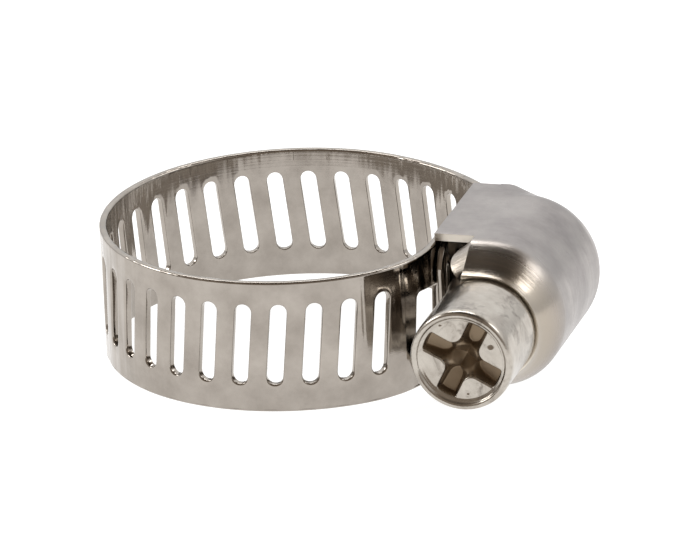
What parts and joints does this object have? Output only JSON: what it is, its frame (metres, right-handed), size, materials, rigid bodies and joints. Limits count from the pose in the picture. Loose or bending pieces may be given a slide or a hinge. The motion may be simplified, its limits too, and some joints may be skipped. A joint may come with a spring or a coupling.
{
  "type": "hose clamp",
  "caption": "Worm-drive hose clamp: a slotted steel strip bent into a ring, its tail drawn through a pressed housing by a cross-recess worm screw.",
  "frame": {"origin": "centre of the ring, half way up the strip", "axes": "+Z along the hose, +X from the ring's centre to the housing, +Y along the screw from its head to its tip"},
  "size_m": [0.0288, 0.0225, 0.009],
  "materials": {
    "strip_steel": "cold-rolled stainless strip, bright and slightly mottled",
    "housing_steel": "pressed nickel-plated sheet, satin",
    "screw_plating": "nickel-plated steel, semi-bright"
  },
  "bodies": {
    "housing_body": {"housing": "housing_steel", "band_fixed_end": "strip_steel"},
    "screw": {"worm_screw": "screw_plating"},
    "tail": {"band_tail": "strip_steel"},
    "front": {"band_front": "strip_steel"},
    "far_side": {"band_far_side": "strip_steel"},
    "back": {"band_back": "strip_steel"},
    "entry": {"band_entry": "strip_steel"}
  },
  "joints": [
    {"name": "band_travel", "type": "slide", "parent": "housing_body", "child": "tail", "axis": [0, -1, 0], "range_m": [-0.00205, 0.0041]},
    {"name": "screw_turn", "type": "hinge", "parent": "housing_body", "child": "screw", "pos_m": [0.0134, 0, 0], "axis": [0, 1, 0], "range_deg": [-361, 721]},
    {"name": "front_flex", "type": "hinge", "parent": "housing_body", "child": "front", "pos_m": [-0.00282, -0.01065, 0], "axis": [0, 0, 1], "range_deg": [-5.79, 11.54]},
    {"name": "far_side_flex", "type": "hinge", "parent": "front", "child": "far_side", "pos_m": [-0.00929, -0.00592, 0], "axis": [0, 0, 1], "range_deg": [-17.13, 8.59]},
    {"name": "back_flex", "type": "hinge", "parent": "far_side", "child": "back", "pos_m": [-0.00939, 0.00575, 0], "axis": [0, 0, 1], "range_deg": [-0.97, 0.51]},
    {"name": "entry_flex", "type": "hinge", "parent": "back", "child": "entry", "pos_m": [-0.001, 0.01097, 0], "axis": [0, 0, 1], "range_deg": [-3, 1.52]}
  ],
  "couplings": [
    {"joint": "screw_turn", "follows": "band_travel", "rad_per_m": 3065},
    {"joint": "front_flex", "follows": "band_travel", "rad_per_m": 48.911},
    {"joint": "far_side_flex", "follows": "band_travel", "rad_per_m": -72.723},
    {"joint": "back_flex", "follows": "band_travel", "rad_per_m": -3.8986},
    {"joint": "entry_flex", "follows": "band_travel", "rad_per_m": -12.56}
  ]
}
